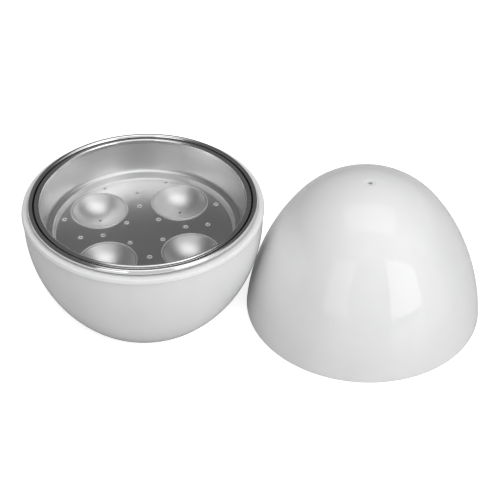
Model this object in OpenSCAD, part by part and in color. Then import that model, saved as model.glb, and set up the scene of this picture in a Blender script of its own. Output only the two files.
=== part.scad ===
// Microwave egg cooker for four eggs: a plastic bowl with an aluminium liner and a lift-out
// egg tray, and an egg-shaped lid with its own liner, standing on its rim beside the bowl.
// Millimetres, +Z up. The origin is the centre of the bowl's foot; the lid stands along +X.

/* [Bowl] */
// Radius over the bowl's rim band
bowl_r = 69; // [68:0.5:72]
// Height of the bowl's top edge, which the closed lid stands on
seat_z = 67.6; // [66:0.2:70]
// Height of the rim band
band_h = 3.2; // [2.4:0.2:4]
// How far the rim band stands out from the body
band_out = 0.7; // [0.4:0.1:1]
// Height of the body's widest place
waist_z = 58.6; // [56:0.2:60]
// Radius of the flat foot
foot_r = 44; // [40:1:47]
// Wall thickness of the plastic bowl and lid
wall = 2.4; // [2.2:0.1:2.6]
// Ribs inside the bowl, under the ledge that carries the liner's rolled edge
rib_count = 12; // [8:1:16]

/* [Liner] */
// Thickness of the aluminium sheet
sheet = 0.8; // [0.6:0.1:1]
// Radius over the liner's rolled edge
roll_out_r = 65.2; // [65:0.1:65.4]
// Section radius of the rolled edge
roll_r = 1.7; // [1.5:0.1:1.8]
// Radius of the liner's mouth
mouth_r = 58.6; // [58:0.2:59.2]
// Height of the step that carries the tray
step_z = 51.2; // [48:0.2:53]
// Radius of the liner's wall where it meets the step
step_r = 55.3; // [54.6:0.1:56]
// Width of the step
step_w = 2; // [1.6:0.1:2.2]

/* [Egg tray] */
// Gap between the tray's flange and the liner's wall
tray_gap = 0.6; // [0.4:0.1:1]
// Width of the tray's flange
flange_w = 2.5; // [2.3:0.1:2.8]
// Depth from the flange to the tray's floor
dish_depth = 4.7; // [3:0.1:6]
// Number of egg cups
cup_count = 4; // [3:1:4]
// Distance from the tray's centre to each cup's centre
cup_pitch_r = 33.5; // [32:0.5:34]
// Radius of a cup at the tray's floor
cup_r = 15.5; // [14:0.5:15.5]
// Depth of a cup below the tray's floor
cup_depth = 7.7; // [5.6:0.1:9]
// Height of the raised ring round each cup
ring_h = 0.7; // [0.4:0.1:1]
// Diameter of the steam and drain holes
hole_d = 2.4; // [1.6:0.1:3]
// Turn of the tray about its own axis
tray_turn = 13.5; // [0:0.5:90]

/* [Lid] */
// Distance between the axes of the bowl and the lid
lid_x = 128; // [128:1:160]
// Height of the lid
lid_h = 88.8; // [84:0.2:94]
// Radius that the lid's flank would reach at its widest, below the rim
lid_r = 68.9; // [68.4:0.1:69.2]
// How far the flank's widest place lies below the rim
lid_drop = 10.2; // [6:0.2:14]
// Radius of the rounded top
crown_r = 54.4; // [50:0.2:56]
// Air gap between the lid and its liner
lid_gap = 2.2; // [1.8:0.1:2.6]
// Diameter of the steam vent at the top
vent_d = 2.6; // [2:0.1:3.4]

/* [Hidden] */
$fn = 120;
eps = 0.05;
arc_steps = 18;

plastic = "white";
aluminium = "silver";

// Bowl: the flank is one arc, upright at the waist and ending at the foot
body_r = bowl_r - band_out;
flank_dr = body_r - foot_r;
flank_r = (flank_dr * flank_dr + waist_z * waist_z) / (2 * flank_dr);
flank_cx = body_r - flank_r;
band_z = seat_z - band_h;
band_edge = 0.2;
band_flat = 1;
top_r = body_r + band_edge;
edge_round = 0.8;
groove_r = [34, 39];
groove_d = 0.8;
ledge_r = roll_out_r - 2 * roll_r - 0.6;
ledge_h = 1.6;
ledge_out_r = body_r - wall - 0.4;
rib_w = 1.8;
rib_r = ledge_r + 0.5;
rib_low_z = waist_z - 16;
rib_nose_z = waist_z - 2;

// Rolled edge and tray seat
roll_cx = roll_out_r - roll_r;
roll_cz = seat_z + roll_r;
roll_top_z = roll_cz + roll_r;
roll_gap = 0.8;
flange_z = roll_cz + 0.9;
flange_end_r = roll_cx - 1;
corner_r = 1.2;
lip_drop = 3;
tray_flange_r = step_r - tray_gap;
dish_r = tray_flange_r - flange_w;
flange_top_z = step_z + sheet;
floor_z = flange_top_z - dish_depth;
dish_lean = 0.2;
floor_r = dish_r - dish_depth * dish_lean;
under_shift = sheet * 0.8;
ring_w = 1.5;
cup_ball_r = (cup_r * cup_r + cup_depth * cup_depth) / (2 * cup_depth);
cup_ball_z = floor_z - cup_depth + cup_ball_r;

// Steam holes: [radius, number of holes, turn from the gap between two cups]
cup_step = 360 / cup_count;
hole_rows = [
    [13.3, cup_count, cup_step / 2],
    [24, cup_count, 0],
    [37, cup_count, 0],
    [48.3, 2 * cup_count, cup_step / 4]
];

// Lid: a flank arc and a crown arc that meet without a corner
crown_cz = lid_h - crown_r;
dome_rise = crown_cz + lid_drop;
lid_flank_r = (lid_r * lid_r + dome_rise * dome_rise - crown_r * crown_r) / (2 * (lid_r - crown_r));
lid_flank_cx = lid_r - lid_flank_r;
meet_a = atan2(dome_rise, -lid_flank_cx);
lid_roll_r = 1.5;
lid_roll_cz = roll_top_z - seat_z + 0.4 + lid_roll_r;
lid_dome_z = lid_roll_cz + lid_roll_r * 0.3;
vent_dimple_d = 6;
vent_dimple_h = 0.6;

// Points along an arc round c from angle a to angle b
function arc(c, r, a, b, n = arc_steps) =
    [for (i = [0 : n]) let (t = a + (b - a) * i / n) [c[0] + r * cos(t), c[1] + r * sin(t)]];

function flipped(path) = [for (i = [len(path) - 1 : -1 : 0]) path[i]];

// Angle on the bowl's flank, moved in by inset, at height z
function flank_angle(inset, z) = asin((z - waist_z) / (flank_r - inset));

// Bowl outline from height z up to the waist, moved in by inset
function bowl_path(inset, z) = arc([flank_cx, waist_z], flank_r - inset, flank_angle(inset, z), 0);

// Lid radius at height z, moved in by inset
function lid_flank_at(inset, z) =
    lid_flank_cx + sqrt(pow(lid_flank_r - inset, 2) - pow(z + lid_drop, 2));

// Lid outline from height z up to its top, moved in by inset
function lid_path(inset, z) = concat(
    arc([lid_flank_cx, -lid_drop], lid_flank_r - inset, asin((z + lid_drop) / (lid_flank_r - inset)), meet_a),
    arc([0, crown_cz], crown_r - inset, meet_a + 90 / arc_steps, 90)
);

module tube(outer_r, inner_r, h) {
    difference() {
        cylinder(r = outer_r, h = h);
        translate([0, 0, -1]) cylinder(r = inner_r, h = h + 2);
    }
}

// Plastic bowl: flat foot, curved flank, rim band, ledge and ribs
module base_shell() {
    top_in_r = body_r - wall;
    mid_wall_r = top_in_r + wall / 2;
    outside = concat(
        [[0, 0]],
        bowl_path(0, 0),
        [[body_r, band_z], [bowl_r, band_z + band_edge], [bowl_r, band_z + band_flat]],
        arc([top_r - edge_round, seat_z - edge_round], edge_round, 10, 90, 6)
    );
    inside = concat([[0, wall]], bowl_path(wall, wall), [[top_in_r, seat_z]]);
    color(plastic) {
        difference() {
            rotate_extrude() polygon(concat(outside, flipped(inside)));
            translate([0, 0, -1]) tube(groove_r[1], groove_r[0], groove_d + 1);
        }
        rotate_extrude() polygon([
            [ledge_r, seat_z + eps], [ledge_r, seat_z - ledge_h],
            [mid_wall_r, seat_z - ledge_h - mid_wall_r + ledge_r],
            [mid_wall_r, seat_z - ledge_h / 2], [ledge_out_r, seat_z + eps]
        ]);
        for (i = [0 : rib_count - 1]) rotate([0, 0, 360 * i / rib_count]) bowl_rib(mid_wall_r);
    }
}

// One upright rib, from inside the ledge down into the bowl's wall
module bowl_rib(mid_wall_r) {
    low_r = flank_cx + sqrt(pow(flank_r - wall, 2) - pow(waist_z - rib_low_z, 2));
    top_z = seat_z - ledge_h / 2;
    points = [
        [rib_r, top_z], [rib_r, rib_nose_z], [low_r, rib_low_z], [low_r + wall / 2, rib_low_z],
        [mid_wall_r, waist_z], [mid_wall_r, top_z - 1]
    ];
    rotate([90, 0, 0]) translate([0, 0, -rib_w / 2]) linear_extrude(rib_w) polygon(points);
}

// Aluminium sleeve: rolled edge, rim flange, sloping wall and the step for the tray
module base_liner() {
    inner_step_r = step_r - step_w;
    corner_c = [mouth_r + corner_r, flange_z - corner_r];
    face = concat(
        [[inner_step_r, step_z - lip_drop], [inner_step_r, step_z], [step_r, step_z]],
        arc(corner_c, corner_r, 180, 90, 6),
        [[flange_end_r, flange_z]]
    );
    back = concat(
        [[inner_step_r + sheet, step_z - lip_drop], [inner_step_r + sheet, step_z - sheet],
            [step_r + sheet, step_z - sheet]],
        arc(corner_c, corner_r - sheet, 180, 90, 6),
        [[flange_end_r, flange_z - sheet]]
    );
    color(aluminium) {
        rotate_extrude() polygon(concat(face, flipped(back)));
        rotate_extrude() rolled_edge([roll_cx, roll_cz], roll_r);
    }
}

// Section of a rolled sheet edge, open to the inside and below
module rolled_edge(c, r) {
    translate(c) {
        difference() {
            circle(r = r, $fn = 40);
            circle(r = r - sheet, $fn = 40);
            translate([-r, -r]) square([r * roll_gap, r]);
        }
    }
}

// Aluminium tray: flange, dished floor, egg cups with raised rings, steam and drain holes
module egg_tray() {
    sheet_path = [[0, floor_z], [floor_r, floor_z], [dish_r, flange_top_z], [tray_flange_r, flange_top_z]];
    under_path = [
        [0, floor_z - sheet], [floor_r + under_shift, floor_z - sheet],
        [dish_r + under_shift, step_z], [tray_flange_r, step_z]
    ];
    color(aluminium) rotate([0, 0, tray_turn]) {
        difference() {
            union() {
                rotate_extrude() polygon(concat(sheet_path, flipped(under_path)));
                at_cups() cup_body();
            }
            at_cups() translate([0, 0, cup_ball_z]) sphere(r = cup_ball_r);
            at_cups() translate([0, 0, floor_z - cup_depth - 5]) cylinder(d = hole_d, h = 10, $fn = 32);
            steam_holes();
        }
    }
}

module at_cups() {
    for (i = [0 : cup_count - 1]) {
        rotate([0, 0, cup_step * (i + 0.5)]) translate([cup_pitch_r, 0, 0]) children();
    }
}

// Outside of one cup and its raised ring; the hollow is cut from it with the tray
module cup_body() {
    intersection() {
        translate([0, 0, cup_ball_z]) sphere(r = cup_ball_r + sheet);
        translate([0, 0, floor_z - cup_depth - 2]) cylinder(r = cup_r + sheet, h = cup_depth + 2);
    }
    translate([0, 0, floor_z - sheet / 2]) cylinder(r = cup_r + ring_w, h = sheet / 2 + ring_h);
}

module steam_holes() {
    for (row = hole_rows, i = [0 : row[1] - 1]) {
        rotate([0, 0, row[2] + 360 * i / row[1]]) {
            translate([row[0], 0, floor_z - 3]) cylinder(d = hole_d, h = 6, $fn = 32);
        }
    }
}

// Plastic dome with a steam vent in a shallow dimple at its top
module lid_shell() {
    outside = lid_path(0, 0);
    inside = lid_path(wall, 0);
    color(plastic) translate([lid_x, 0, 0]) {
        difference() {
            rotate_extrude() polygon(concat(outside, flipped(inside)));
            translate([0, 0, lid_h - wall - 2]) cylinder(d = vent_d, h = wall + 4, $fn = 32);
            translate([0, 0, lid_h - vent_dimple_h]) cylinder(d = vent_dimple_d, h = 2, $fn = 48);
        }
    }
}

// Aluminium dome inside the lid, pressed in by its rolled edge
module lid_liner() {
    face_inset = wall + lid_gap;
    roll_c = [lid_flank_at(wall, lid_roll_cz) + eps - lid_roll_r, lid_roll_cz];
    outside = lid_path(face_inset, lid_dome_z);
    inside = lid_path(face_inset + sheet, lid_dome_z);
    color(aluminium) translate([lid_x, 0, 0]) {
        difference() {
            union() {
                rotate_extrude() polygon(concat(outside, flipped(inside)));
                rotate_extrude() translate(roll_c) {
                    difference() {
                        circle(r = lid_roll_r, $fn = 36);
                        circle(r = lid_roll_r - sheet, $fn = 36);
                    }
                }
            }
            translate([0, 0, lid_h - wall - lid_gap - 4]) cylinder(d = vent_d * 2, h = 8, $fn = 32);
        }
    }
}

base_shell();
base_liner();
egg_tray();
lid_shell();
lid_liner();
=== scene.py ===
import math

import bmesh
import bpy
from mathutils import Matrix, Vector


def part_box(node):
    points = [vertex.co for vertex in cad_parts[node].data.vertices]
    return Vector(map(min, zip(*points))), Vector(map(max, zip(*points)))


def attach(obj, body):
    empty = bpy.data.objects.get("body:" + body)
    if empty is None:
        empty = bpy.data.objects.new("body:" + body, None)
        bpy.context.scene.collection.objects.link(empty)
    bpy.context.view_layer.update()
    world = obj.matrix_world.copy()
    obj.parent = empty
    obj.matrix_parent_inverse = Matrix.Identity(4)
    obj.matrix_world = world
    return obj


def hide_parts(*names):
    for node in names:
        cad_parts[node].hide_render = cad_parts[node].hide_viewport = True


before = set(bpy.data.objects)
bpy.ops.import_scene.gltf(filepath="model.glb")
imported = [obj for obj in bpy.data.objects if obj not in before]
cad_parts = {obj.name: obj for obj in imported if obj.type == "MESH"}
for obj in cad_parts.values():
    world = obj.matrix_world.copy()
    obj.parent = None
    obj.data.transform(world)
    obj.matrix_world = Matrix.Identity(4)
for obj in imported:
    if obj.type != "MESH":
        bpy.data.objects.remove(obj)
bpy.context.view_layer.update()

mm = 0.001
roundSteps = 6     # steps in each rounded corner of an outline
mergeDist = 0.002 * mm
sharpAngle = 38    # edges that turn more than this stay crisp

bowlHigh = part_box("base_shell")[1]
linerLow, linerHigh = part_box("base_liner")
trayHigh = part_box("egg_tray")[1]
lidLow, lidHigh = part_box("lid_shell")
lidX = (lidLow.x + lidHigh.x) / 2 / mm   # the lid stands this far from the bowl's axis


# outlines: a list of (radius, height) in millimetres, turned about an upright axis

def arc(centre, radius, start, end, steps):
    turns = [math.radians(start + (end - start) * i / steps) for i in range(steps + 1)]
    return [(centre[0] + radius * math.cos(t), centre[1] + radius * math.sin(t)) for t in turns]


def rounded(corners, closed=False):
    # a corner may carry a third number, the radius that rounds it
    path = []
    for i, corner in enumerate(corners):
        here = Vector(corner[:2])
        isEnd = not closed and i in (0, len(corners) - 1)
        if len(corner) == 2 or isEnd:
            path.append(here)
            continue
        back = (Vector(corners[i - 1][:2]) - here).normalized()
        ahead = (Vector(corners[(i + 1) % len(corners)][:2]) - here).normalized()
        half = back.angle(ahead) / 2
        centre = here + (back + ahead).normalized() * corner[2] / math.sin(half)
        reach = corner[2] / math.tan(half)
        first = (here + back * reach - centre).normalized()
        last = (here + ahead * reach - centre).normalized()
        path += [centre + first.slerp(last, k / roundSteps) * corner[2] for k in range(roundSteps + 1)]
    return path


def turnOutline(bm, path, steps, closed=False, wearAndShade=None):
    # each point's mark: painted shade below zero, or a rubbed and frosty finish above zero
    layer = bm.verts.layers.float.get("wearAndShade") or bm.verts.layers.float.new("wearAndShade")
    verts = [bm.verts.new((r * mm, 0, z * mm)) for r, z in path]
    if wearAndShade:
        for vert, (r, z) in zip(verts, path):
            vert[layer] = wearAndShade(r, z)
    pairs = list(zip(verts, verts[1:]))
    if closed:
        pairs.append((verts[-1], verts[0]))
    edges = [bm.edges.new(pair) for pair in pairs]
    bmesh.ops.spin(bm, geom=verts + edges, cent=(0, 0, 0), axis=(0, 0, 1), dvec=(0, 0, 0),
                   angle=math.tau, steps=steps, use_merge=True, use_duplicate=False)


def mergeAndFace(bm):
    bmesh.ops.remove_doubles(bm, verts=bm.verts, dist=mergeDist)
    bmesh.ops.dissolve_degenerate(bm, edges=bm.edges, dist=0.0005 * mm)
    bmesh.ops.recalc_face_normals(bm, faces=bm.faces)


def finishPiece(bm, name, body, node, material):
    for face in bm.faces:
        face.smooth = True
    mesh = bpy.data.meshes.new(name)
    bm.to_mesh(mesh)
    bm.free()
    mesh.set_sharp_from_angle(angle=math.radians(sharpAngle))
    mesh.materials.append(material)
    piece = bpy.data.objects.new(name, mesh)
    bpy.context.scene.collection.objects.link(piece)
    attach(piece, body)
    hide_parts(node)
    print(name, "made:", len(mesh.polygons), "faces")
    return piece


# finishes

def addNode(tree, kind, **settings):
    node = tree.nodes.new(kind)
    for key, value in settings.items():
        setattr(node, key, value)
    return node


def addGroup(name, inputs, outputs):
    # inputs are (name, kind, default); returns the tree and its two end nodes
    tree = bpy.data.node_groups.new(name, "ShaderNodeTree")
    for socketName, kind, default in inputs:
        socket = tree.interface.new_socket(name=socketName, in_out="INPUT", socket_type=kind)
        if default is not None:
            socket.default_value = default
    for socketName, kind in outputs:
        tree.interface.new_socket(name=socketName, in_out="OUTPUT", socket_type=kind)
    return tree, addNode(tree, "NodeGroupInput"), addNode(tree, "NodeGroupOutput")


def makeTurnedLines():
    # fine rings left by spinning or pressing the sheet on a turning form
    tree, start, end = addGroup(
        "turnedLines",
        [("Vector", "NodeSocketVector", None), ("Lines Per Metre", "NodeSocketFloat", 1500.0),
         ("Wander", "NodeSocketFloat", 0.4)],
        [("Height", "NodeSocketFloat"), ("Bands", "NodeSocketFloat")])
    link = tree.links.new
    split = addNode(tree, "ShaderNodeSeparateXYZ")
    link(start.outputs["Vector"], split.inputs[0])
    flat = addNode(tree, "ShaderNodeCombineXYZ")
    link(split.outputs["X"], flat.inputs["X"])
    link(split.outputs["Y"], flat.inputs["Y"])
    radius = addNode(tree, "ShaderNodeVectorMath", operation="LENGTH")
    link(flat.outputs[0], radius.inputs[0])
    across = addNode(tree, "ShaderNodeCombineXYZ")   # (radius, height, a little of the turn)
    link(radius.outputs["Value"], across.inputs["X"])
    link(split.outputs["Z"], across.inputs["Y"])
    heading = addNode(tree, "ShaderNodeVectorMath", operation="NORMALIZE")
    link(flat.outputs[0], heading.inputs[0])
    drift = addNode(tree, "ShaderNodeVectorMath", operation="SCALE")
    link(heading.outputs[0], drift.inputs[0])
    small = addNode(tree, "ShaderNodeMath", operation="MULTIPLY")
    small.inputs[1].default_value = 0.002   # metres of wander for a full share
    link(start.outputs["Wander"], small.inputs[0])
    link(small.outputs[0], drift.inputs["Scale"])
    place = addNode(tree, "ShaderNodeVectorMath", operation="ADD")
    link(across.outputs[0], place.inputs[0])
    link(drift.outputs[0], place.inputs[1])
    lines = addNode(tree, "ShaderNodeTexNoise")
    lines.inputs["Detail"].default_value = 4.0
    lines.inputs["Roughness"].default_value = 0.7
    link(place.outputs[0], lines.inputs["Vector"])
    link(start.outputs["Lines Per Metre"], lines.inputs["Scale"])
    link(lines.outputs["Fac"], end.inputs["Height"])
    bands = addNode(tree, "ShaderNodeTexNoise")
    bands.inputs["Detail"].default_value = 1.0
    fewer = addNode(tree, "ShaderNodeMath", operation="MULTIPLY")
    fewer.inputs[1].default_value = 0.12    # broad bands for each fine line
    link(start.outputs["Lines Per Metre"], fewer.inputs[0])
    link(place.outputs[0], bands.inputs["Vector"])
    link(fewer.outputs[0], bands.inputs["Scale"])
    link(bands.outputs["Fac"], end.inputs["Bands"])
    return tree


def makeHandling():
    # smears and dust that handling leaves, as two masks
    tree, start, end = addGroup(
        "handlingMarks",
        [("Vector", "NodeSocketVector", None), ("Smear Scale", "NodeSocketFloat", 18.0),
         ("Dust Scale", "NodeSocketFloat", 900.0)],
        [("Smears", "NodeSocketFloat"), ("Dust", "NodeSocketFloat")])
    link = tree.links.new
    smears = addNode(tree, "ShaderNodeTexNoise")
    smears.inputs["Detail"].default_value = 5.0
    smears.inputs["Roughness"].default_value = 0.62
    smears.inputs["Distortion"].default_value = 0.6
    link(start.outputs["Vector"], smears.inputs["Vector"])
    link(start.outputs["Smear Scale"], smears.inputs["Scale"])
    smearRange = addNode(tree, "ShaderNodeMapRange")
    smearRange.inputs["From Min"].default_value = 0.38
    smearRange.inputs["From Max"].default_value = 0.68
    link(smears.outputs["Fac"], smearRange.inputs["Value"])
    link(smearRange.outputs[0], end.inputs["Smears"])
    dust = addNode(tree, "ShaderNodeTexVoronoi")
    link(start.outputs["Vector"], dust.inputs["Vector"])
    link(start.outputs["Dust Scale"], dust.inputs["Scale"])
    dustRange = addNode(tree, "ShaderNodeMapRange")
    dustRange.inputs["From Min"].default_value = 0.16
    dustRange.inputs["From Max"].default_value = 0.08
    link(dust.outputs["Distance"], dustRange.inputs["Value"])
    link(dustRange.outputs[0], end.inputs["Dust"])
    return tree


turnedLines = makeTurnedLines()
handlingMarks = makeHandling()


def startMaterial(name):
    material = bpy.data.materials.new(name)
    material.use_nodes = True
    tree = material.node_tree
    return material, tree, tree.nodes["Principled BSDF"]


def centredCoords(tree, axisX):
    coords = addNode(tree, "ShaderNodeTexCoord")
    mapping = addNode(tree, "ShaderNodeMapping")
    mapping.inputs["Location"].default_value = (-axisX * mm, 0, 0)
    tree.links.new(coords.outputs["Object"], mapping.inputs["Vector"])
    return mapping.outputs["Vector"]


def mixColors(tree, low, high, factor):
    # low and high are colours, or sockets that carry one
    mix = addNode(tree, "ShaderNodeMix", data_type="RGBA")
    for key, color in (("A", low), ("B", high)):
        if isinstance(color, bpy.types.NodeSocket):
            tree.links.new(color, mix.inputs[key])
        else:
            mix.inputs[key].default_value = (*color, 1)
    tree.links.new(factor, mix.inputs["Factor"])
    return mix.outputs["Result"]


def addRamp(tree, value, start, end):
    ramp = addNode(tree, "ShaderNodeMapRange", interpolation_type="SMOOTHSTEP")
    ramp.inputs["From Min"].default_value = start
    ramp.inputs["From Max"].default_value = end
    tree.links.new(value, ramp.inputs["Value"])
    return ramp.outputs[0]


def weighted(tree, terms, base):
    # base plus each mask times its weight
    total = None
    for mask, weight in terms:
        step = addNode(tree, "ShaderNodeMath", operation="MULTIPLY_ADD")
        step.inputs[1].default_value = weight
        tree.links.new(mask, step.inputs[0])
        if total is None:
            step.inputs[2].default_value = base
        else:
            tree.links.new(total, step.inputs[2])
        total = step.outputs[0]
    return total


def clamped(tree, value, sign):
    step = addNode(tree, "ShaderNodeMath", operation="MULTIPLY", use_clamp=True)
    step.inputs[1].default_value = sign
    tree.links.new(value, step.inputs[0])
    return step.outputs[0]


def addBump(tree, height, strength, distance):
    bump = addNode(tree, "ShaderNodeBump")
    bump.inputs["Strength"].default_value = strength
    bump.inputs["Distance"].default_value = distance * mm
    tree.links.new(height, bump.inputs["Height"])
    return bump.outputs["Normal"]


plastic = dict(light=(0.82, 0.82, 0.82), dark=(0.785, 0.786, 0.788), smearScale=16.0, dustScale=260.0,
               roughness=0.03, smearGloss=0.02, dustGloss=0.08, peelScale=420.0, peel=0.05, peelDepth=0.02,
               glow=0.6, glowReach=3.0)


def whitePlastic(name, axisX):
    material, tree, shader = startMaterial(name)
    place = centredCoords(tree, axisX)
    marks = addNode(tree, "ShaderNodeGroup", node_tree=handlingMarks)
    marks.inputs["Smear Scale"].default_value = plastic["smearScale"]
    marks.inputs["Dust Scale"].default_value = plastic["dustScale"]
    tree.links.new(place, marks.inputs["Vector"])
    tree.links.new(mixColors(tree, plastic["light"], plastic["dark"], marks.outputs["Smears"]),
                   shader.inputs["Base Color"])
    tree.links.new(weighted(tree, [(marks.outputs["Smears"], plastic["smearGloss"]),
                                   (marks.outputs["Dust"], plastic["dustGloss"])], plastic["roughness"]),
                   shader.inputs["Roughness"])
    peel = addNode(tree, "ShaderNodeTexNoise")
    peel.inputs["Scale"].default_value = plastic["peelScale"]
    peel.inputs["Detail"].default_value = 2.0
    tree.links.new(place, peel.inputs["Vector"])
    tree.links.new(addBump(tree, peel.outputs["Fac"], plastic["peel"], plastic["peelDepth"]),
                   shader.inputs["Normal"])
    shader.inputs["IOR"].default_value = 1.49
    shader.inputs["Subsurface Weight"].default_value = plastic["glow"]
    shader.inputs["Subsurface Radius"].default_value = (1.0, 0.97, 0.94)
    shader.inputs["Subsurface Scale"].default_value = plastic["glowReach"] * mm
    return material


# what every aluminium sheet shares, then each sheet's own finish
# the dark tone here is painted shade for the liner's hollows; the rubbed tone is a frosty worn finish
sheetMarks = dict(smearScale=34.0, dustScale=330.0, bandShade=0.5, smearShade=0.45,
                  paintedShadeTone=(0.13, 0.13, 0.133), rubbed=(0.96, 0.96, 0.96),
                  lineGloss=0.05, smearGloss=0.02, dustGloss=0.08, rubbedGloss=0.34, bump=0.5)
linerFinish = dict(light=(0.94, 0.94, 0.94), dark=(0.87, 0.87, 0.88), roughness=0.27, linesPerMetre=1400,
                   lineDepth=0.003, anisotropy=0.4, polish=0.20, polishLow=67.6, polishHigh=69.1)
trayFinish = dict(light=(0.86, 0.86, 0.86), dark=(0.78, 0.78, 0.79), roughness=0.29, linesPerMetre=900,
                  lineDepth=0.002, anisotropy=0.0, polish=0)
lidFinish = dict(light=(0.86, 0.86, 0.86), dark=(0.76, 0.76, 0.77), roughness=0.26, linesPerMetre=1200,
                 lineDepth=0.004, anisotropy=0.3, polish=0)


def aluminium(name, axisX, finish):
    material, tree, shader = startMaterial(name)
    place = centredCoords(tree, axisX)
    lines = addNode(tree, "ShaderNodeGroup", node_tree=turnedLines)
    lines.inputs["Lines Per Metre"].default_value = finish["linesPerMetre"]
    tree.links.new(place, lines.inputs["Vector"])
    marks = addNode(tree, "ShaderNodeGroup", node_tree=handlingMarks)
    marks.inputs["Smear Scale"].default_value = sheetMarks["smearScale"]
    marks.inputs["Dust Scale"].default_value = sheetMarks["dustScale"]
    tree.links.new(place, marks.inputs["Vector"])
    shade = weighted(tree, [(lines.outputs["Bands"], sheetMarks["bandShade"]),
                            (marks.outputs["Smears"], sheetMarks["smearShade"])], 0.0)
    wearAndShade = addNode(tree, "ShaderNodeAttribute", attribute_name="wearAndShade")
    rubbed = clamped(tree, wearAndShade.outputs["Fac"], 1.0)
    # painted shade: where the mark is below zero the base colour turns to the dark tone
    paintedShadeMask = clamped(tree, wearAndShade.outputs["Fac"], -1.0)
    color = mixColors(tree, finish["light"], finish["dark"], shade)
    color = mixColors(tree, color, sheetMarks["paintedShadeTone"], paintedShadeMask)
    tree.links.new(mixColors(tree, color, sheetMarks["rubbed"], rubbed), shader.inputs["Base Color"])
    gloss = [(lines.outputs["Height"], sheetMarks["lineGloss"]),
             (marks.outputs["Smears"], sheetMarks["smearGloss"]),
             (marks.outputs["Dust"], sheetMarks["dustGloss"]), (rubbed, sheetMarks["rubbedGloss"])]
    if finish["polish"]:
        split = addNode(tree, "ShaderNodeSeparateXYZ")
        tree.links.new(place, split.inputs[0])
        polished = addRamp(tree, split.outputs["Z"], finish["polishLow"] * mm, finish["polishHigh"] * mm)
        gloss.append((polished, -finish["polish"]))
    tree.links.new(weighted(tree, gloss, finish["roughness"]), shader.inputs["Roughness"])
    tree.links.new(addBump(tree, lines.outputs["Height"], sheetMarks["bump"], finish["lineDepth"]),
                   shader.inputs["Normal"])
    shader.inputs["Metallic"].default_value = 1.0
    shader.inputs["Anisotropic"].default_value = finish["anisotropy"]
    return material


bowlPlastic = whitePlastic("bowlPlastic", 0)
lidPlastic = whitePlastic("lidPlastic", lidX)
linerMetal = aluminium("linerMetal", 0, linerFinish)
trayMetal = aluminium("trayMetal", 0, trayFinish)
lidMetal = aluminium("lidMetal", lidX, lidFinish)
print("finishes made")


# bowl: white plastic, one arc from the foot up to the waist, a band round the rim

bowl = dict(
    rimR=bowlHigh.x / mm, topZ=67.6, footR=44.0, waistZ=58.6, wall=2.4,
    bandOut=0.7, bandH=3.2, grooveIn=34.0, grooveOut=39.0, grooveDepth=0.8,
    ledgeR=61.2, ledgeThick=1.6, ribCount=12, ribWide=1.8, ribLength=16.0, ribBevel=0.2,
    nubR=0.8, nubZ=0.15, recessR=3.2, recessZ=0.5, turns=180)


def makeBowl():
    bodyR = bowl["rimR"] - bowl["bandOut"]
    reach = bodyR - bowl["footR"]
    flankR = (reach ** 2 + bowl["waistZ"] ** 2) / (2 * reach)
    centre = (bodyR - flankR, bowl["waistZ"])
    innerR = flankR - bowl["wall"]
    footTurn = math.degrees(math.asin(-bowl["waistZ"] / flankR))
    wellTurn = math.degrees(math.asin((bowl["wall"] - bowl["waistZ"]) / innerR))
    bandZ = bowl["topZ"] - bowl["bandH"]
    wallR = bodyR - bowl["wall"]
    outside = [   # the gate mark in the middle of the foot, the foot's groove, then the flank
        (0, bowl["nubZ"]), (bowl["nubR"], bowl["nubZ"], 0.1), (bowl["nubR"] + 0.2, bowl["recessZ"], 0.1),
        (bowl["recessR"], bowl["recessZ"], 0.2), (bowl["recessR"] + 0.4, 0, 0.2),
        (bowl["grooveIn"], 0, 0.25), (bowl["grooveIn"] + 0.3, bowl["grooveDepth"], 0.25),
        (bowl["grooveOut"] - 0.3, bowl["grooveDepth"], 0.25), (bowl["grooveOut"], 0, 0.25),
        (bowl["footR"], 0, 1.2)]
    outside += arc(centre, flankR, footTurn + 1.5, 0, 28)
    outside += [
        (bodyR, bandZ - 0.2, 0.5), (bowl["rimR"], bandZ + 0.35, 0.35), (bowl["rimR"], bandZ + 1.1, 0.5),
        (bodyR + 0.2, bowl["topZ"], 0.75), (wallR, bowl["topZ"], 0.2),
        (wallR - 0.3, bowl["topZ"] - 0.4, 0.15), (wallR - 1.6, bowl["topZ"], 0.6),
        (bowl["ledgeR"], bowl["topZ"], 0.3),
        (bowl["ledgeR"], bowl["topZ"] - bowl["ledgeThick"], 0.4), (wallR, bowl["waistZ"] + 2.5, 1.5)]
    inside = arc(centre, innerR, 0, wellTurn + 2, 28)
    inside += [(centre[0] + innerR * math.cos(math.radians(wellTurn)), bowl["wall"], 2.5), (0, bowl["wall"])]
    bm = bmesh.new()
    turnOutline(bm, rounded(outside + inside), bowl["turns"])
    mergeAndFace(bm)
    addRibs(bm, bodyR, centre, innerR)
    return finishPiece(bm, "bowlShell", "base", "base_shell", bowlPlastic)


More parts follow.
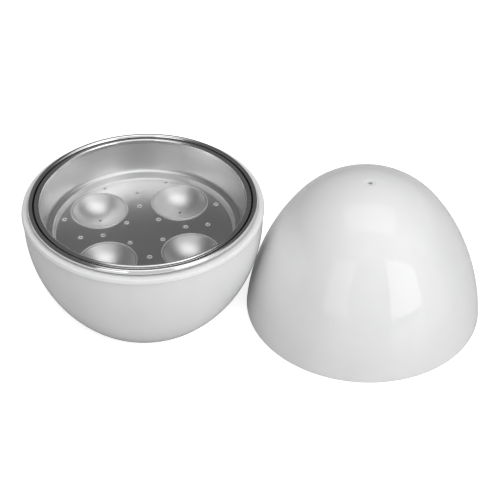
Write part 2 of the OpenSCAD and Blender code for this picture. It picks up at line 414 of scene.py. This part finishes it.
def addRibs(bm, bodyR, centre, innerR):
    # upright ribs under the ledge, sunk into the wall
    lowZ = bowl["waistZ"] - bowl["ribLength"]
    lowR = centre[0] + math.sqrt(innerR ** 2 - (bowl["waistZ"] - lowZ) ** 2)
    wallR = bodyR - bowl["wall"] / 2
    ribR = bowl["ledgeR"] + 0.5
    outline = [(ribR, bowl["topZ"] - 1), (ribR, bowl["waistZ"] - 2), (lowR, lowZ),
               (lowR + 1.2, lowZ), (wallR, bowl["waistZ"]), (wallR, bowl["topZ"] - 1.5)]
    rib = bmesh.new()
    side = rib.faces.new([rib.verts.new((r * mm, -bowl["ribWide"] / 2 * mm, z * mm)) for r, z in outline])
    grown = bmesh.ops.extrude_face_region(rib, geom=[side])["geom"]
    bmesh.ops.translate(rib, verts=[g for g in grown if isinstance(g, bmesh.types.BMVert)],
                        vec=(0, bowl["ribWide"] * mm, 0))
    bmesh.ops.recalc_face_normals(rib, faces=rib.faces)
    bmesh.ops.bevel(rib, geom=rib.edges[:], offset=bowl["ribBevel"] * mm, offset_type="OFFSET",
                    affect="EDGES", segments=2, profile=0.5, material=-1, clamp_overlap=True)
    ribMesh = bpy.data.meshes.new("rib")
    for _ in range(bowl["ribCount"]):
        rib.to_mesh(ribMesh)
        bm.from_mesh(ribMesh)
        bmesh.ops.rotate(rib, verts=rib.verts, cent=(0, 0, 0),
                         matrix=Matrix.Rotation(math.tau / bowl["ribCount"], 3, "Z"))
    rib.free()
    bpy.data.meshes.remove(ribMesh)


# sleeve: one aluminium sheet from the tray's step up the wall, over the bead and into the rolled edge

liner = dict(
    outR=linerHigh.x / mm, topZ=linerHigh.z / mm, lowZ=linerLow.z / mm, rollWide=1.4, rollHigh=1.7,
    beadR=59.6, beadZ=69.6, beadRound=0.95, flangeZ=70.1, notchR=61.9, notchZ=68.6, stepZ=51.2, stepR=55.3,
    stepWide=2.0, sheet=0.6, turns=400)


def thicken(piece, thickness):
    # gives a sheet its thickness on the side away from its normals, and applies it
    solidify = piece.modifiers.new("thickness", "SOLIDIFY")
    solidify.thickness = thickness * mm
    solidify.offset = -1
    solidify.use_even_offset = True
    solidify.use_rim = True
    bpy.context.view_layer.update()
    solid = bpy.data.meshes.new_from_object(piece.evaluated_get(bpy.context.evaluated_depsgraph_get()))
    piece.modifiers.clear()
    thin = piece.data
    piece.data = solid
    bpy.data.meshes.remove(thin)
    solid.name = piece.name


def turnNormals(bm, topFacesUp):
    # an open sheet has no outside of its own: its highest face says which way round it is
    bm.normal_update()
    highest = max(bm.faces, key=lambda face: face.calc_center_median().z)
    if (highest.normal.z > 0) != topFacesUp:
        bmesh.ops.reverse_faces(bm, faces=bm.faces)


def oval(centre, wide, high, start, end, steps):
    return [(centre[0] + wide * x, centre[1] + high * y) for x, y in arc((0, 0), 1, start, end, steps)]


def linerPaintedShade(r, z):
    # painted shade: darker in the groove beside the roll and under the roll's outer foot, where shade falls
    inGroove = abs(r - liner["notchR"] - 0.1) < 0.75 and z < liner["flangeZ"] - 0.25
    underRoll = r > liner["outR"] - 1.2 and z < liner["topZ"] - liner["rollHigh"] - 0.9
    return -1.0 if inGroove or underRoll else 0.0


def makeLiner():
    n = liner
    sheet = n["sheet"]
    innerStep = n["stepR"] - n["stepWide"]
    bead = (n["beadR"], n["beadZ"])
    roll = (n["outR"] - n["rollWide"], n["topZ"] - n["rollHigh"])
    face = [(innerStep, n["lowZ"], 0.2), (innerStep, n["stepZ"], 0.6), (n["stepR"], n["stepZ"], 0.5)]
    face += arc(bead, n["beadRound"], 169.5, 48, 14)
    face += [(n["beadR"] + 0.9, n["flangeZ"], 0.3), (n["notchR"] - 0.3, n["flangeZ"], 0.25),
             (n["notchR"] - 0.15, n["notchZ"], 0.12), (n["notchR"] + 0.4, n["notchZ"], 0.12)]
    face += oval(roll, n["rollWide"], n["rollHigh"], 178, -150, 46)
    back = oval(roll, n["rollWide"] - sheet, n["rollHigh"] - sheet, -150, 190, 40)
    back += [(n["notchR"] + 0.6, n["notchZ"] - sheet, 0.3), (n["notchR"] - 0.7, n["notchZ"] - sheet, 0.3),
             (n["notchR"] - 0.9, n["flangeZ"] - sheet, 0.2), (n["beadR"] + 0.3, n["flangeZ"] - sheet, 0.2)]
    back += arc(bead, n["beadRound"] - sheet, 100, 169.5, 6)
    back += [(n["stepR"] + sheet, n["stepZ"] - sheet, 0.3), (innerStep + sheet, n["stepZ"] - sheet, 0.2),
             (innerStep + sheet, n["lowZ"], 0.2)]
    bm = bmesh.new()
    turnOutline(bm, rounded(face + back, closed=True), n["turns"], closed=True, wearAndShade=linerPaintedShade)
    mergeAndFace(bm)
    return finishPiece(bm, "bowlSleeve", "base", "base_liner", linerMetal)


# tray: a pressed dish with four egg cups, raised rings, steam holes and a drain hole in each cup

tray = dict(
    outR=trayHigh.x / mm, topZ=trayHigh.z / mm, flangeWide=2.5, dishDepth=4.7, dishLean=0.2, sheet=0.8,
    cups=4, cupPitch=33.5, cupR=15.5, cupDepth=7.7, ringWide=1.4, ringH=0.7,
    holeR=0.65, burrR=1.7, burrH=0.4, collar=0.9, turned=13.5, turns=192, cupTurns=96, holeTurns=24,
    dishWear=0.45, ringWear=0.8, cupWear=0.3, holeWear=1.0)
# steam holes: distance from the middle, how many, and their turn from the gap between two cups
tray["holeRows"] = [(13.3, 4, 45), (24.0, 4, 0), (37.0, 4, 0), (48.3, 8, 22.5)]


def addPressing(bm, path, steps, spot, turn, wearAndShade):
    # one round pressing or punched hole, turned about its own upright axis and set in the floor
    part = bmesh.new()
    turnOutline(part, path, steps, wearAndShade=wearAndShade)
    bmesh.ops.remove_doubles(part, verts=part.verts, dist=mergeDist)
    bmesh.ops.translate(part, verts=part.verts, vec=(spot * mm, 0, 0))
    bmesh.ops.rotate(part, verts=part.verts, cent=(0, 0, 0),
                     matrix=Matrix.Rotation(math.radians(turn), 3, "Z"))
    partMesh = bpy.data.meshes.new("pressing")
    part.to_mesh(partMesh)
    part.free()
    bm.from_mesh(partMesh)
    bpy.data.meshes.remove(partMesh)


def fillFloor(bm, height):
    # the flat floor between all the open edges at one height
    rims = [edge for edge in bm.edges if len(edge.link_faces) == 1
            and all(abs(v.co.z - height * mm) < 0.001 * mm for v in edge.verts)]
    bmesh.ops.triangle_fill(bm, edges=rims, use_beauty=True, use_dissolve=False)


def makeTray():
    t = tray
    floorZ = t["topZ"] - t["dishDepth"]
    dishR = t["outR"] - t["flangeWide"]
    floorR = dishR - t["dishDepth"] * t["dishLean"]
    underZ = floorZ - t["sheet"]
    shift = t["sheet"] * 0.8
    edgeR = floorR - 1.1   # the flat floor starts here
    bm = bmesh.new()
    rim = [(edgeR, floorZ), (floorR - 1.0, floorZ), (floorR, floorZ, 1.0), (dishR, t["topZ"], 1.2),
           (t["outR"], t["topZ"], 0.3), (t["outR"], t["topZ"] - t["sheet"], 0.3),
           (dishR + shift, t["topZ"] - t["sheet"], 0.3), (floorR + shift, underZ, 0.9), (edgeR, underZ)]
    turnOutline(bm, rounded(rim), t["turns"],
                wearAndShade=lambda r, z: t["dishWear"] if floorR - 0.2 < r < dishR and z > floorZ + 0.1 else 0.0)
    bmesh.ops.remove_doubles(bm, verts=bm.verts, dist=mergeDist)

    ballR = (t["cupR"] ** 2 + t["cupDepth"] ** 2) / (2 * t["cupDepth"])
    ballZ = floorZ - t["cupDepth"] + ballR
    topTurn = math.degrees(math.asin((floorZ - ballZ) / ballR))
    drainTurn = -math.degrees(math.acos(t["holeR"] / ballR))
    outBall = ballR + t["sheet"]
    underTurn = math.degrees(math.asin((underZ - 0.5 - ballZ) / outBall))
    underDrain = -math.degrees(math.acos(t["holeR"] / outBall))
    ringOut = t["cupR"] + t["ringWide"]
    crest = floorZ + t["ringH"]
    cup = [(ringOut + 0.15, floorZ), (ringOut + 0.05, floorZ), (ringOut - 0.05, floorZ, 0.08),
           (ringOut - 0.25, crest, 0.25), (ringOut - 0.6, crest, 0.25), (ringOut - 0.8, floorZ + 0.1, 0.12)]
    cup += arc((0, ballZ), ballR, topTurn, drainTurn, 24)
    cup += arc((0, ballZ), outBall, underDrain, underTurn, 24)
    underR = math.sqrt(outBall ** 2 - (underZ - ballZ) ** 2)
    cup += [(underR, underZ, 0.4), (ringOut + 0.15, underZ)]

    def cupWear(r, z):
        if z > floorZ + 0.3:
            return t["ringWear"]
        return t["cupWear"] if r < t["cupR"] + 0.1 else 0.0

    for i in range(t["cups"]):
        addPressing(bm, rounded(cup), t["cupTurns"], t["cupPitch"], t["turned"] + 360 / t["cups"] * (i + 0.5),
                    cupWear)

    collarZ = underZ - t["collar"]
    hole = [(t["burrR"], floorZ), (t["burrR"] - 0.1, floorZ), (t["burrR"] - 0.25, floorZ, 0.2),
            (t["holeR"] + 0.5, floorZ + t["burrH"], 0.3), (t["holeR"], floorZ - 0.1, 0.4),
            (t["holeR"], collarZ, 0.05), (t["holeR"] + 0.2, collarZ, 0.05), (t["holeR"] + 0.3, underZ, 0.1),
            (t["burrR"], underZ)]
    for spot, count, turn in t["holeRows"]:
        for i in range(count):
            addPressing(bm, rounded(hole), t["holeTurns"], spot, t["turned"] + turn + 360 * i / count,
                        lambda r, z: t["holeWear"] if r < t["burrR"] - 0.05 and z > collarZ - 0.1 else 0.0)

    fillFloor(bm, floorZ)
    fillFloor(bm, underZ)
    mergeAndFace(bm)
    openEdges = sum(1 for edge in bm.edges if len(edge.link_faces) != 2)
    print("tray edges without two faces:", openEdges)
    return finishPiece(bm, "eggTray", "tray", "egg_tray", trayMetal)


# lid: a flank arc and a crown arc that meet without a corner, with a steam vent in a dimple

lid = dict(
    height=lidHigh.z / mm, wideR=68.9, drop=10.2, crownR=54.4, wall=2.4, gap=2.2, sheet=0.8,
    ventR=1.3, dimpleR=3.0, dimpleDepth=0.3, rollR=1.5, rollZ=5.3, linerVentR=2.6, turns=192)


def lidArcs():
    # centre and radius of the flank arc and of the crown arc, and the turn where they meet
    crownZ = lid["height"] - lid["crownR"]
    rise = crownZ + lid["drop"]
    flankR = (lid["wideR"] ** 2 + rise ** 2 - lid["crownR"] ** 2) / (2 * (lid["wideR"] - lid["crownR"]))
    flankC = (lid["wideR"] - flankR, -lid["drop"])
    return flankC, flankR, crownZ, math.degrees(math.atan2(rise, -flankC[0]))


def lidProfile(inset, lowZ, topR):
    # from the height lowZ up to where the crown's radius shrinks to topR, moved in by inset
    flankC, flankR, crownZ, meetTurn = lidArcs()
    lowTurn = math.degrees(math.asin((lowZ - flankC[1]) / (flankR - inset)))
    topTurn = math.degrees(math.acos(topR / (lid["crownR"] - inset)))
    path = arc(flankC, flankR - inset, lowTurn, meetTurn, 26)
    return path + arc((0, crownZ), lid["crownR"] - inset, meetTurn + 2, topTurn, 24)


def placeLid(bm):
    bmesh.ops.translate(bm, verts=bm.verts, vec=(lidX * mm, 0, 0))


def makeLid():
    height = lid["height"]
    floorZ = height - lid["dimpleDepth"]
    outside = lidProfile(0, 0.6, lid["dimpleR"] + 0.4)
    inside = lidProfile(lid["wall"], 0.4, lid["ventR"] + 0.3)
    baseOut = lidProfile(0, 0, lid["dimpleR"])[0]
    baseIn = lidProfile(lid["wall"], 0, lid["dimpleR"])[0]
    path = [(*baseOut, 0.5)] + outside
    path += [(lid["dimpleR"], height - 0.12, 0.25), (lid["dimpleR"] - 0.5, floorZ, 0.3),
             (lid["ventR"], floorZ, 0.15), (lid["ventR"], height - lid["wall"], 0.15)]
    path += inside[::-1] + [(*baseIn, 0.35)]
    bm = bmesh.new()
    turnOutline(bm, rounded(path, closed=True), lid["turns"], closed=True)
    mergeAndFace(bm)
    placeLid(bm)
    return finishPiece(bm, "lidShell", "lid", "lid_shell", lidPlastic)


def makeLidLiner():
    inset = lid["wall"] + lid["gap"] + lid["sheet"]
    flankC, flankR = lidArcs()[:2]
    shellR = flankC[0] + math.sqrt((flankR - lid["wall"]) ** 2 - (lid["rollZ"] - flankC[1]) ** 2)
    roll = (shellR - lid["rollR"], lid["rollZ"])
    dome = lidProfile(inset, lid["rollZ"] + 0.6, lid["linerVentR"])[::-1]
    path = dome + arc(roll, lid["rollR"], 180, 470, 44)
    bm = bmesh.new()
    turnOutline(bm, path, lid["turns"])
    mergeAndFace(bm)
    turnNormals(bm, False)
    placeLid(bm)
    piece = finishPiece(bm, "lidLiner", "lid", "lid_liner", lidMetal)
    thicken(piece, lid["sheet"] * 0.99)
    return piece


makeBowl()
makeLiner()
makeTray()
makeLid()
makeLidLiner()
print("pieces made")


# floor, lights and camera

studio = dict(
    floorSize=8.0, floorDrop=0.05, floorTone=0.66, floorGlow=0.75, floorGloss=0.14,
    backTone=0.10, frontTone=0.62, leftTone=0.10, rightTone=0.95,
    leftFade=(-0.7, 0.0), rightFade=(0.35, 0.85), backFade=(0.35, -0.45),   # in parts of the view's direction
    softboxes=[
        # name, centre, what it faces, width, height, brightness, seen in reflections
        ("overhead", (0.18, -0.04, 1.10), (0.18, -0.04, 0.0), 1.10, 0.68, 1.1, True),
        ("frontRight", (0.975, -0.75, 0.33), (0.975, 0.0, 0.33), 0.95, 0.555, 1.9, True),
        ("frontLeft", (-0.36, -0.85, 0.36), (-0.36, 0.0, 0.36), 0.5, 0.60, 1.0, True),
        ("fill", (0.62, -0.62, 1.15), (0.06, 0.0, 0.0), 1.0, 1.0, 1.7, False),
        ("leftFill", (-0.65, -0.20, 1.25), (0.10, 0.0, 0.04), 1.0, 1.0, 1.1, False),
        ("backFill", (0.10, 1.30, 0.90), (0.06, 0.0, 0.04), 1.2, 0.8, 0.8, False),
    ])


def grey(tone):
    return (tone, tone, tone)


def makeFloor():
    bm = bmesh.new()
    bmesh.ops.create_grid(bm, x_segments=1, y_segments=1, size=studio["floorSize"] / 2,
                          matrix=Matrix.Translation((0, 0, -studio["floorDrop"] * mm)))
    mesh = bpy.data.meshes.new("floor")
    bm.to_mesh(mesh)
    bm.free()
    material, tree, shader = startMaterial("paleFloor")
    shader.inputs["Base Color"].default_value = (*grey(studio["floorTone"]), 1)
    shader.inputs["Roughness"].default_value = studio["floorGloss"]
    shader.inputs["Emission Color"].default_value = (1, 1, 1, 1)
    rays = addNode(tree, "ShaderNodeLightPath")
    glow = addNode(tree, "ShaderNodeMath", operation="MULTIPLY")
    glow.inputs[1].default_value = studio["floorGlow"]
    tree.links.new(rays.outputs["Is Camera Ray"], glow.inputs[0])
    tree.links.new(glow.outputs[0], shader.inputs["Emission Strength"])
    mesh.materials.append(material)
    floor = bpy.data.objects.new("floor", mesh)
    bpy.context.scene.collection.objects.link(floor)


def makeRoom():
    # white to the camera; as a source of light dim at the back and left, paler in front and at the right
    world = bpy.data.worlds.new("room")
    bpy.context.scene.world = world
    world.use_nodes = True
    tree = world.node_tree
    coords = addNode(tree, "ShaderNodeTexCoord")
    split = addNode(tree, "ShaderNodeSeparateXYZ")
    tree.links.new(coords.outputs["Generated"], split.inputs[0])
    walls = mixColors(tree, grey(studio["leftTone"]), grey(studio["frontTone"]),
                      addRamp(tree, split.outputs["X"], *studio["leftFade"]))
    walls = mixColors(tree, walls, grey(studio["rightTone"]),
                      addRamp(tree, split.outputs["X"], *studio["rightFade"]))
    walls = mixColors(tree, grey(studio["backTone"]), walls,
                      addRamp(tree, split.outputs["Y"], *studio["backFade"]))
    rays = addNode(tree, "ShaderNodeLightPath")
    tree.links.new(mixColors(tree, walls, grey(1), rays.outputs["Is Camera Ray"]),
                   tree.nodes["Background"].inputs["Color"])


def makeSoftboxes():
    for name, centre, facing, width, height, brightness, mirrored in studio["softboxes"]:
        light = bpy.data.lights.new(name, "AREA")
        light.shape = "RECTANGLE"
        light.size, light.size_y = width, height
        light.energy = brightness * math.pi * width * height
        box = bpy.data.objects.new(name, light)
        forward = (Vector(facing) - Vector(centre)).normalized()
        right = (Vector((1, 0, 0)) - forward * forward.x).normalized()
        turn = Matrix((right, right.cross(forward), -forward)).transposed().to_4x4()
        box.matrix_world = Matrix.Translation(centre) @ turn
        box.visible_camera = False
        box.visible_glossy = mirrored
        bpy.context.scene.collection.objects.link(box)


cameraSettings = dict(azimuth=3.243, elevation=38.96, roll=0.4408, distance=936.56, target=(58.58, 45.08, 0),
                      lens=108.95, sensor=36.0)


def makeCamera():
    s = cameraSettings
    a, e, roll = (math.radians(s[key]) for key in ("azimuth", "elevation", "roll"))
    forward = Vector((-math.sin(a) * math.cos(e), math.cos(a) * math.cos(e), -math.sin(e)))
    right = Vector((math.cos(a), math.sin(a), 0))
    up = right.cross(forward)
    tilt = Matrix.Rotation(-roll, 3, forward)
    turn = Matrix((tilt @ right, tilt @ up, -forward)).transposed().to_4x4()
    data = bpy.data.cameras.new("camera")
    data.lens = s["lens"]
    data.sensor_width = s["sensor"]
    data.clip_start, data.clip_end = 0.05, 30
    camera = bpy.data.objects.new("camera", data)
    place = Vector(s["target"]) * mm - forward * s["distance"] * mm
    camera.matrix_world = Matrix.Translation(place) @ turn
    bpy.context.scene.collection.objects.link(camera)
    bpy.context.scene.camera = camera


makeFloor()
makeRoom()
makeSoftboxes()
makeCamera()
bpy.context.scene.view_settings.view_transform = "Standard"
print("floor, lights and camera made")
